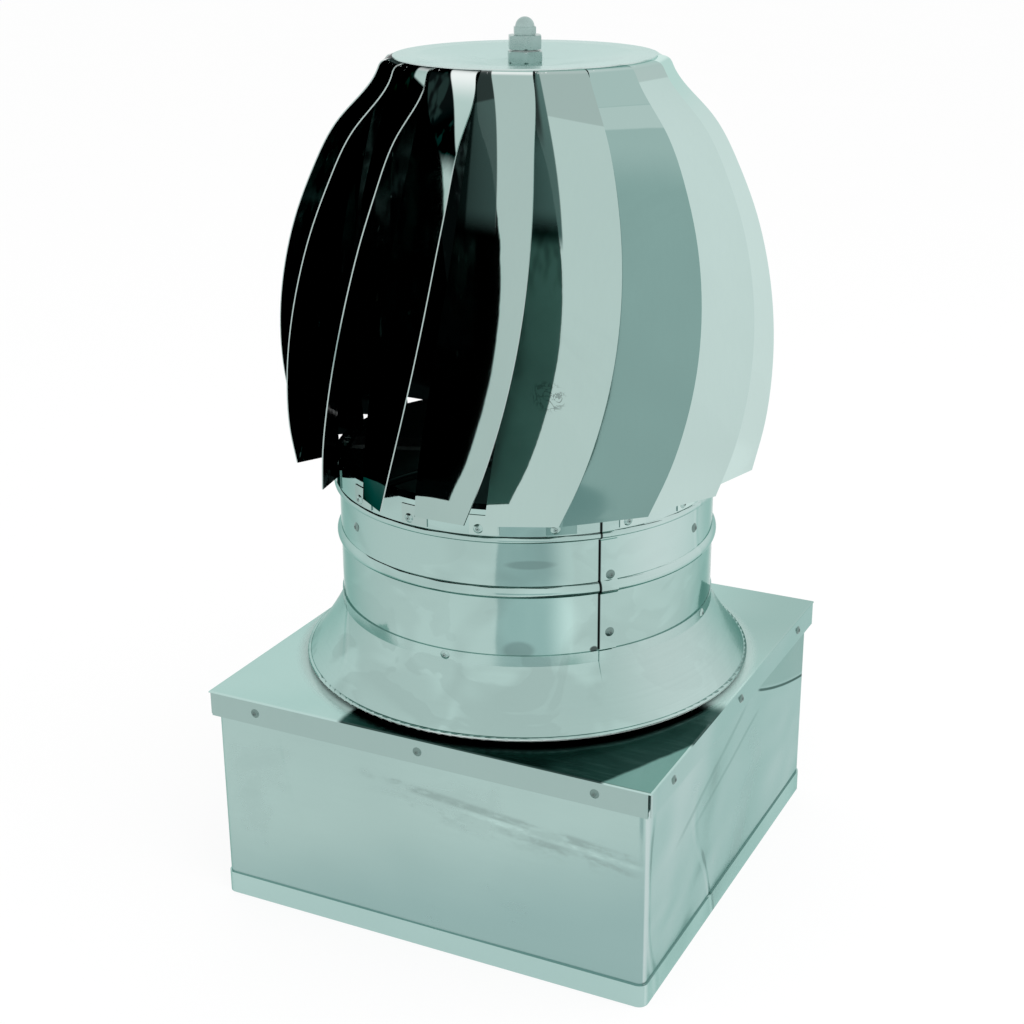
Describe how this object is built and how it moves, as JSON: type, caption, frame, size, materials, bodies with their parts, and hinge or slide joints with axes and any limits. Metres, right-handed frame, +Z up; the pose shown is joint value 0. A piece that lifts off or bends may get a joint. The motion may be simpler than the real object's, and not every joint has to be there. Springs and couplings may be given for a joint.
{
  "type": "rotating chimney cowl",
  "caption": "Wind-driven turning cowl with twisted vanes between a dished cap and a ring, on a round collar with a storm skirt above a square base box.",
  "frame": {"origin": "middle of the open bottom of the square base box, on the plane of its lower rim", "axes": "+Z up along the spindle; X and Y square to the sides of the base box"},
  "size_m": [0.3117, 0.3113, 0.5612],
  "materials": {
    "box_sheet": "satin",
    "lid_sheet": "satin",
    "collar_sheet": "polished",
    "cap_sheet": "satin",
    "vane_sheet": "polished",
    "rivets": "satin",
    "bar_steel": "zinc plated",
    "shaft_steel": "turned",
    "bearing_steel": "ground",
    "bronze": "sintered",
    "nut_steel": "zinc plated"
  },
  "bodies": {
    "base": {"box_walls": "box_sheet", "wall_rivets": "rivets", "lid_tray": "lid_sheet", "lid_rivets": "rivets", "collar": "collar_sheet", "collar_seam_rivets": "rivets", "storm_cone": "collar_sheet", "cone_rivets": "rivets", "spindle_bracket": "bar_steel", "bracket_rivets": "rivets", "bracket_washer": "bar_steel", "bracket_nut": "nut_steel", "spindle": "shaft_steel", "spindle_clip": "bar_steel", "bearing_inner_ring": "bearing_steel", "lock_nut": "nut_steel", "cap_washer": "nut_steel", "acorn_nut": "nut_steel"},
    "rotor": {"bottom_ring": "collar_sheet", "ring_rivets": "rivets", "spider": "bar_steel", "spider_rivets": "rivets", "spider_bush": "bronze", "vane_01": "vane_sheet", "vane_02": "vane_sheet", "vane_03": "vane_sheet", "vane_04": "vane_sheet", "vane_05": "vane_sheet", "vane_06": "vane_sheet", "vane_07": "vane_sheet", "vane_08": "vane_sheet", "vane_09": "vane_sheet", "vane_10": "vane_sheet", "vane_11": "vane_sheet", "vane_12": "vane_sheet", "vane_13": "vane_sheet", "vane_14": "vane_sheet", "vane_15": "vane_sheet", "vane_16": "vane_sheet", "vane_17": "vane_sheet", "tab_ring": "bar_steel", "cap_disc": "cap_sheet", "bearing_housing": "shaft_steel", "housing_clip": "bar_steel", "bearing_outer_ring": "bearing_steel", "bearing_balls": "bearing_steel", "hub_nut": "nut_steel"}
  },
  "joints": [
    {"name": "rotor_spin", "type": "hinge", "parent": "base", "child": "rotor", "pos_m": [0, 0, 0.52], "axis": [0, 0, 1], "continuous": true}
  ]
}
